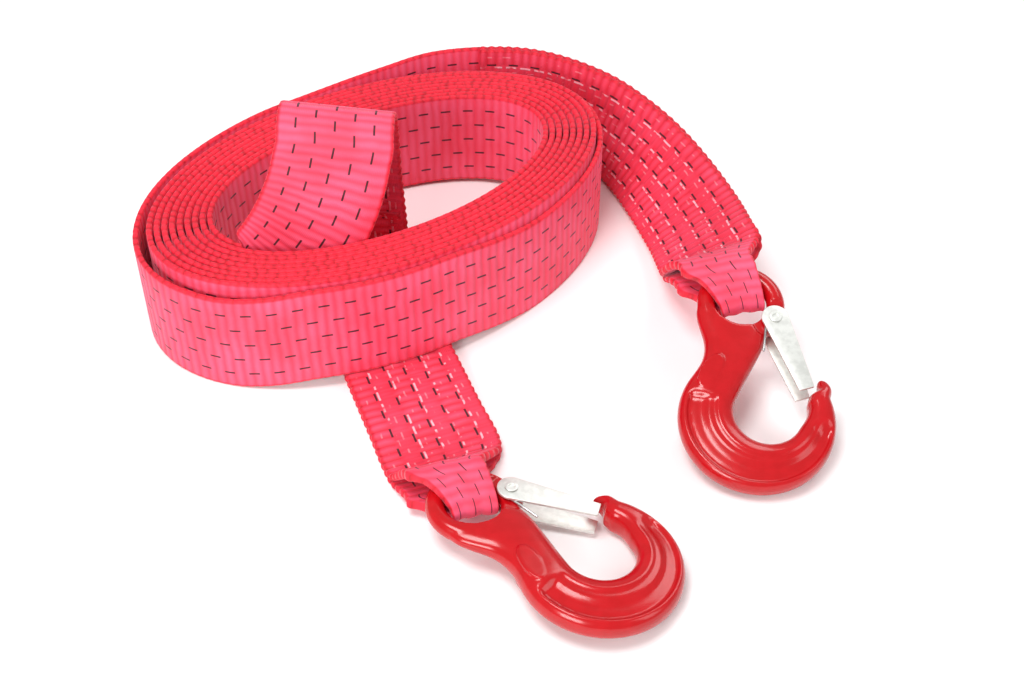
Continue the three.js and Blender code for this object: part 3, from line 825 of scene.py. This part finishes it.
deselect()
bpy.ops.mesh.primitive_torus_add(
    major_segments=48, minor_segments=14, major_radius=SPRING_RADIUS * MM, minor_radius=WIRE / 2 * MM,
    location=(PIVOT[0] * MM, PIVOT[1] * MM, SPRING_HEIGHT * MM))
turn_pattern = settle(bpy.context.object)
bpy.ops.object.shade_smooth()
spring_pattern = join(turn_pattern, leg("shank_leg", -12, 20))
leg_pattern = leg("latch_leg", 23.5, 17)

# %% [markdown]
# ## Put the pieces on both ends
#
# Everything above is one pattern. Each end gets its own copy of every mesh, turned and moved
# by that hook's matrix, and rides on its own body.

# %% Copy the patterns to their places
def place_copy(pattern, name, end, body, node):
    mesh = pattern.data.copy()
    mesh.name = name
    local = HOOK_PLACE[end].copy()
    local.translation = local.translation * MM + STEP
    mesh.transform(local)
    obj = bpy.data.objects.new(name, mesh)
    bpy.context.scene.collection.objects.link(obj)
    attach(obj, body)
    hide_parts(node)
    return obj


pieces = {}
for end in ("front", "rear"):
    for pattern, kind, body, node, slot_name in (
        (hook_pattern, "forged_hook", "hook", "hook", "hook_paint"),
        (latch_pattern, "safety_latch", "latch", "latch", "zinc_steel"),
        (pin_pattern, "hollow_rivet", "hook", "latch_pin", "zinc_steel"),
        (spring_pattern, "spring_turn", "hook", "latch_spring", "spring_steel"),
        (leg_pattern, "spring_leg", "latch", "latch_spring", "spring_steel"),
    ):
        name = f"{end}_{kind}"
        pieces[name] = place_copy(pattern, name, end, f"{end}_{body}", f"{end}_{node}")
for pattern in (hook_pattern, latch_pattern, pin_pattern, spring_pattern, leg_pattern):
    bpy.data.objects.remove(pattern)
print("pieces:", len(pieces))

# %% [markdown]
# ## Node groups for the finishes
#
# A pattern that depends on where a point lies on the cloth is easiest with two numbers: how
# far across the band and how far along it. They are the band's UV map, in metres. The groups
# put out masks and heights only; the shader stays in each material.

# %% Helpers for node trees
def group(name, inputs, outputs):
    tree = bpy.data.node_groups.new(name, "ShaderNodeTree")
    for label, value in inputs.items():
        tree.interface.new_socket(label, in_out="INPUT", socket_type="NodeSocketFloat").default_value = value
    for label in outputs:
        tree.interface.new_socket(label, in_out="OUTPUT", socket_type="NodeSocketFloat")
    return tree, tree.nodes.new("NodeGroupInput"), tree.nodes.new("NodeGroupOutput")


def feed(tree, socket, value):
    if isinstance(value, bpy.types.NodeSocket):
        tree.links.new(value, socket)
    else:
        socket.default_value = value


def calc(tree, operation, a, b=0.0, c=None):
    node = tree.nodes.new("ShaderNodeMath")
    node.operation = operation
    feed(tree, node.inputs[0], a)
    feed(tree, node.inputs[1], b)
    if c is not None:
        feed(tree, node.inputs[2], c)
    return node.outputs[0]


def ramp(tree, value, low, high, start=0.0, end=1.0):
    node = tree.nodes.new("ShaderNodeMapRange")
    node.interpolation_type = "SMOOTHSTEP"
    for socket, number in zip(node.inputs[:5], (value, low, high, start, end)):
        feed(tree, socket, number)
    return node.outputs[0]


def noise(tree, vector, scale, detail=2.0):
    node = tree.nodes.new("ShaderNodeTexNoise")
    node.inputs["Scale"].default_value = scale
    node.inputs["Detail"].default_value = detail
    tree.links.new(vector, node.inputs["Vector"])
    return node.outputs[0]


# %% Ribs and fine yarns
def make_weave():
    tree, given, out = group(
        "woven_ribs", {"Across": 0, "Along": 0, "Rib Pitch": RIB * MM, "Yarn Pitch": 0.0009, "Waver": 0.5},
        ("Height", "Ribs", "Yarns"))
    place = tree.nodes.new("ShaderNodeCombineXYZ")
    tree.links.new(given.outputs["Across"], place.inputs[0])
    tree.links.new(given.outputs["Along"], place.inputs[1])
    soft = noise(tree, place.outputs[0], 70.0)
    waver = calc(tree, "MULTIPLY", calc(tree, "SUBTRACT", soft, 0.5), given.outputs["Waver"])
    turns = calc(tree, "ADD", calc(tree, "DIVIDE", given.outputs["Along"], given.outputs["Rib Pitch"]), waver)
    wave = calc(tree, "COSINE", calc(tree, "MULTIPLY", turns, 2 * math.pi))
    ribs = calc(tree, "MULTIPLY_ADD", wave, 0.5, 0.5)
    ribs = calc(tree, "POWER", ribs, 0.8)
    fine = calc(tree, "DIVIDE", given.outputs["Across"], given.outputs["Yarn Pitch"])
    fine = calc(tree, "MULTIPLY", fine, 2 * math.pi)
    yarns = calc(tree, "MULTIPLY_ADD", calc(tree, "COSINE", fine), 0.5, 0.5)
    rise_part = calc(tree, "MULTIPLY", yarns, calc(tree, "MULTIPLY_ADD", ribs, 0.22, 0.06))
    tree.links.new(calc(tree, "ADD", ribs, rise_part), out.inputs["Height"])
    tree.links.new(ribs, out.inputs["Ribs"])
    tree.links.new(yarns, out.inputs["Yarns"])
    return tree


# %% Dashes in rows: tracer threads and seams
def make_dashes():
    tree, given, out = group(
        "dashed_rows",
        {"Across": 0, "Along": 0, "Spacing": 0.01, "Offset": 0, "Period": 0.0133, "Length": 0.0054,
         "Width": 0.0011, "Stagger": 0.5, "Rows": 2},
        ("Mask", "Row"))
    moved = calc(tree, "SUBTRACT", given.outputs["Across"], given.outputs["Offset"])
    share = calc(tree, "DIVIDE", moved, given.outputs["Spacing"])
    row = calc(tree, "ROUND", share)
    away = calc(tree, "ABSOLUTE", calc(tree, "SUBTRACT", share, row))
    away = calc(tree, "MULTIPLY", away, given.outputs["Spacing"])
    half = calc(tree, "MULTIPLY", given.outputs["Width"], 0.5)
    on_line = ramp(tree, away, calc(tree, "MULTIPLY", half, 1.25), calc(tree, "MULTIPLY", half, 0.75))
    last_row = calc(tree, "ADD", given.outputs["Rows"], 0.5)
    inside = calc(tree, "LESS_THAN", calc(tree, "ABSOLUTE", row), last_row)
    odd = calc(tree, "FLOORED_MODULO", row, 2.0)
    shifted = calc(tree, "ADD", calc(tree, "DIVIDE", given.outputs["Along"], given.outputs["Period"]),
                   calc(tree, "MULTIPLY", odd, given.outputs["Stagger"]))
    phase = calc(tree, "ABSOLUTE", calc(tree, "SUBTRACT", calc(tree, "FRACT", shifted), 0.5))
    reach = calc(tree, "MULTIPLY", given.outputs["Length"], 0.5)
    reach = calc(tree, "DIVIDE", reach, given.outputs["Period"])
    dash = ramp(tree, phase, calc(tree, "ADD", reach, 0.03), calc(tree, "SUBTRACT", reach, 0.01))
    tree.links.new(calc(tree, "MULTIPLY", calc(tree, "MULTIPLY", on_line, dash), inside), out.inputs["Mask"])
    tree.links.new(row, out.inputs["Row"])
    return tree


weave_group = make_weave()
dashes_group = make_dashes()
print("groups:", [g.name for g in (weave_group, dashes_group)])

# %% [markdown]
# ## Webbing finish
#
# Polyester webbing is saturated red. The pink sheen where light meets its faces flat on is
# painted into the colour of the rib crests, and painted shade darkens the rib valleys on the
# edges and the hollows between the cushions of the sewn ends. Black tracer threads show as
# short dashes in five rows, every other row half a step on. In the sewn ends white thread
# comes up beside the tracers.

# %% Build the webbing material
def use_group(tree, source, **values):
    node = tree.nodes.new("ShaderNodeGroup")
    node.node_tree = source
    for label, value in values.items():
        feed(tree, node.inputs[label.replace("_", " ")], value)
    return node


def blend_colour(tree, share, a, b):
    node = tree.nodes.new("ShaderNodeMix")
    node.data_type = "RGBA"
    feed(tree, node.inputs[0], share)
    feed(tree, node.inputs[6], a)
    feed(tree, node.inputs[7], b)
    return node.outputs[2]


def new_material(name):
    material = bpy.data.materials.new(name)
    material.use_nodes = True
    tree = material.node_tree
    return material, tree, tree.nodes["Principled BSDF"]


def webbing_material():
    material, tree, shader = new_material("red_webbing")
    cloth = tree.nodes.new("ShaderNodeUVMap")
    cloth.uv_map = "cloth"
    split = tree.nodes.new("ShaderNodeSeparateXYZ")
    tree.links.new(cloth.outputs[0], split.inputs[0])
    across, along = split.outputs[0], split.outputs[1]
    sewn = tree.nodes.new("ShaderNodeAttribute")
    sewn.attribute_name = "sewn"
    weave = use_group(tree, weave_group, Across=across, Along=along)
    tracer = use_group(tree, dashes_group, Across=across, Along=along)
    seam = use_group(
        tree, dashes_group, Across=across, Along=along, Offset=0.0016, Period=0.0087,
        Length=0.0062, Width=0.0011, Stagger=0.37, Rows=2)
    second = use_group(
        tree, dashes_group, Across=across, Along=along, Offset=0.0048, Period=0.0113,
        Length=0.0045, Width=0.0009, Stagger=0.61, Rows=3)
    patch = noise(tree, cloth.outputs[0], 190.0, 1.0)
    shown = ramp(tree, patch, 0.44, 0.56)
    thread = calc(tree, "MAXIMUM", seam.outputs["Mask"], calc(tree, "MULTIPLY", second.outputs["Mask"], 0.35))
    thread = calc(tree, "MULTIPLY", calc(tree, "MULTIPLY", thread, shown), sewn.outputs["Fac"])
    crest = tree.nodes.new("ShaderNodeAttribute")
    crest.attribute_name = "crest"
    # Painted shade: in the sewn ends the cloth is darkened where it lies low, in the hollows between the
    # cushions.
    painted_cushion_shade = calc(tree, "MULTIPLY", sewn.outputs["Fac"], calc(tree, "SUBTRACT", 1.0, crest.outputs["Fac"]))
    broad = ramp(tree, noise(tree, cloth.outputs[0], 28.0, 3.0), 0.3, 0.7, 0.55, 1.0)
    on_face = ramp(tree, calc(tree, "ABSOLUTE", across), 0.0293, 0.0275)
    # Painted sheen: the rib crests on the band's flat faces are made pinker, and less so where the band is
    # sewn, as light meeting them flat on would.
    painted_sheen = calc(tree, "MULTIPLY", calc(tree, "MULTIPLY_ADD", weave.outputs["Ribs"], 0.5, 0.5), broad)
    painted_sheen = calc(tree, "MULTIPLY", painted_sheen, calc(tree, "MULTIPLY_ADD", sewn.outputs["Fac"], -0.35, 1.0))
    # Painted shade: the rib valleys on the band's edges are darkened, in patches set by noise.
    streak = noise(tree, cloth.outputs[0], 420.0, 1.0)
    valley = calc(tree, "SUBTRACT", 1.0, weave.outputs["Ribs"])
    painted_valley_shade = calc(tree, "MULTIPLY", valley, ramp(tree, streak, 0.35, 0.6))
    edge = blend_colour(tree, painted_valley_shade, (0.86, 0.018, 0.046, 1), (0.52, 0.007, 0.020, 1))
    face = blend_colour(tree, painted_sheen, (0.80, 0.016, 0.040, 1), (0.94, 0.115, 0.225, 1))
    red = blend_colour(tree, on_face, edge, face)
    red = blend_colour(tree, calc(tree, "MULTIPLY", painted_cushion_shade, 0.75), red, (0.50, 0.006, 0.022, 1))
    red = blend_colour(tree, calc(tree, "MULTIPLY", thread, 0.8), red, (0.93, 0.52, 0.60, 1))
    black = calc(tree, "MULTIPLY", tracer.outputs["Mask"], 0.94)
    colour = blend_colour(tree, black, red, (0.022, 0.008, 0.012, 1))
    tree.links.new(colour, shader.inputs["Base Color"])
    shader.inputs["Roughness"].default_value = 0.62
    shader.inputs["Specular IOR Level"].default_value = 0.35
    shader.inputs["Sheen Weight"].default_value = 0.35
    shader.inputs["Sheen Roughness"].default_value = 0.35
    shader.inputs["Sheen Tint"].default_value = (1.0, 0.50, 0.62, 1)
    height = calc(tree, "ADD", weave.outputs["Height"], calc(tree, "MULTIPLY", thread, 0.8))
    height = calc(tree, "SUBTRACT", height, calc(tree, "MULTIPLY", tracer.outputs["Mask"], 0.25))
    bump = tree.nodes.new("ShaderNodeBump")
    bump.inputs["Strength"].default_value = 0.6
    bump.inputs["Distance"].default_value = 0.0006
    tree.links.new(height, bump.inputs["Height"])
    tree.links.new(bump.outputs[0], shader.inputs["Normal"])
    return material


# %% Dress the band
red_webbing = webbing_material()
for cloth in (front_end, coil_band, rear_end):
    cloth.data.materials.append(red_webbing)

# %% [markdown]
# ## Paint and metal
#
# The hooks are dipped in glossy red paint, which runs smooth over the forging and leaves a
# faint unevenness. The latch and pin are zinc plated: bright, slightly cloudy metal. The
# same surface group, a soft unevenness with fine scratches, serves both.

# %% Build paint and zinc
def make_surface():
    tree = bpy.data.node_groups.new("uneven_surface", "ShaderNodeTree")
    tree.interface.new_socket("Vector", in_out="INPUT", socket_type="NodeSocketVector")
    for label, value in (("Scale", 220.0), ("Streak", 8.0)):
        tree.interface.new_socket(label, in_out="INPUT", socket_type="NodeSocketFloat").default_value = value
    for label in ("Cloud", "Streaks"):
        tree.interface.new_socket(label, in_out="OUTPUT", socket_type="NodeSocketFloat")
    given, out = tree.nodes.new("NodeGroupInput"), tree.nodes.new("NodeGroupOutput")
    cloud = tree.nodes.new("ShaderNodeTexNoise")
    cloud.inputs["Detail"].default_value = 3.0
    tree.links.new(given.outputs["Vector"], cloud.inputs["Vector"])
    tree.links.new(given.outputs["Scale"], cloud.inputs["Scale"])
    stretch = tree.nodes.new("ShaderNodeMapping")
    stretch.inputs["Scale"].default_value = (1.0, 6.0, 6.0)
    tree.links.new(given.outputs["Vector"], stretch.inputs["Vector"])
    lines = tree.nodes.new("ShaderNodeTexNoise")
    lines.inputs["Detail"].default_value = 2.0
    tree.links.new(stretch.outputs[0], lines.inputs["Vector"])
    scale = calc(tree, "MULTIPLY", given.outputs["Scale"], given.outputs["Streak"])
    tree.links.new(scale, lines.inputs["Scale"])
    tree.links.new(cloud.outputs[0], out.inputs["Cloud"])
    tree.links.new(lines.outputs[0], out.inputs["Streaks"])
    return tree


surface_group = make_surface()


def coated(name, dark, light, rough, metallic, scale, bump_depth, coat=0.0, streak=8.0):
    material, tree, shader = new_material(name)
    place = tree.nodes.new("ShaderNodeTexCoord")
    surface = use_group(tree, surface_group, Vector=place.outputs["Object"], Scale=scale, Streak=streak)
    colour = blend_colour(tree, ramp(tree, surface.outputs["Cloud"], 0.35, 0.65), dark, light)
    tree.links.new(colour, shader.inputs["Base Color"])
    roughness = ramp(tree, surface.outputs["Streaks"], 0.3, 0.7, rough[0], rough[1])
    tree.links.new(roughness, shader.inputs["Roughness"])
    shader.inputs["Metallic"].default_value = metallic
    shader.inputs["Coat Weight"].default_value = coat
    shader.inputs["Coat Roughness"].default_value = 0.06
    bump = tree.nodes.new("ShaderNodeBump")
    bump.inputs["Strength"].default_value = 0.35
    bump.inputs["Distance"].default_value = bump_depth
    tree.links.new(surface.outputs["Cloud"], bump.inputs["Height"])
    tree.links.new(bump.outputs[0], shader.inputs["Normal"])
    return material


hook_paint = coated(
    "red_paint", (0.47, 0.003, 0.006, 1), (0.51, 0.004, 0.008, 1),
    (0.15, 0.22), 0.0, 160.0, 0.00012, 0.0)
zinc = coated(
    "zinc_plate", (0.76, 0.77, 0.73, 1), (0.86, 0.87, 0.83, 1),
    (0.38, 0.52), 0.8, 300.0, 0.00008)
wire = coated(
    "spring_wire", (0.42, 0.42, 0.42, 1), (0.58, 0.58, 0.58, 1),
    (0.25, 0.4), 0.95, 400.0, 0.00004)
finish = {
    "forged_hook": hook_paint,
    "safety_latch": zinc,
    "hollow_rivet": zinc,
    "spring_turn": wire,
    "spring_leg": wire,
}
for name, obj in pieces.items():
    obj.data.materials.clear()
    obj.data.materials.append(finish[name.split("_", 1)[1]])

# %% [markdown]
# ## Floor and light
#
# The picture was taken on a white table in soft light. The floor is a plain pale plane, and
# big soft lamps from above leave only faint shadows. The sky is white and does most of the
# filling.

# %% Set the floor and the lamps
deselect()
bpy.ops.mesh.primitive_plane_add(size=8, location=(0, 0, 0))
floor = bpy.context.object
floor.name = "floor"
pale, _, pale_shader = new_material("pale_floor")
pale_shader.inputs["Base Color"].default_value = (0.985, 0.98, 0.98, 1)
pale_shader.inputs["Roughness"].default_value = 0.65
floor.data.materials.append(pale)


def lamp(name, place, size, power, target=(0, 0, 0.03)):
    data = bpy.data.lights.new(name, "AREA")
    data.shape = "RECTANGLE"
    data.size, data.size_y = size
    data.energy = power
    obj = bpy.data.objects.new(name, data)
    bpy.context.scene.collection.objects.link(obj)
    obj.location = place
    obj.rotation_euler = (Vector(target) - Vector(place)).to_track_quat("-Z", "Y").to_euler()
    return obj


lamp("key", (-0.55, -1.15, 0.72), (0.6, 0.5), 11)
lamp("top", (-0.3, -0.25, 1.35), (0.6, 0.5), 11)
lamp("side", (1.2, -0.6, 0.8), (0.5, 0.8), 3)
lamp("back", (0.9, 1.1, 1.2), (0.9, 0.9), 9, (0.7, 0.75, 0))
world = bpy.data.worlds.new("white_room")
world.use_nodes = True
world.node_tree.nodes["Background"].inputs["Color"].default_value = (1, 1, 1, 1)
world.node_tree.nodes["Background"].inputs["Strength"].default_value = 0.42
bpy.context.scene.world = world
bpy.context.scene.view_settings.view_transform = "Standard"
deselect()
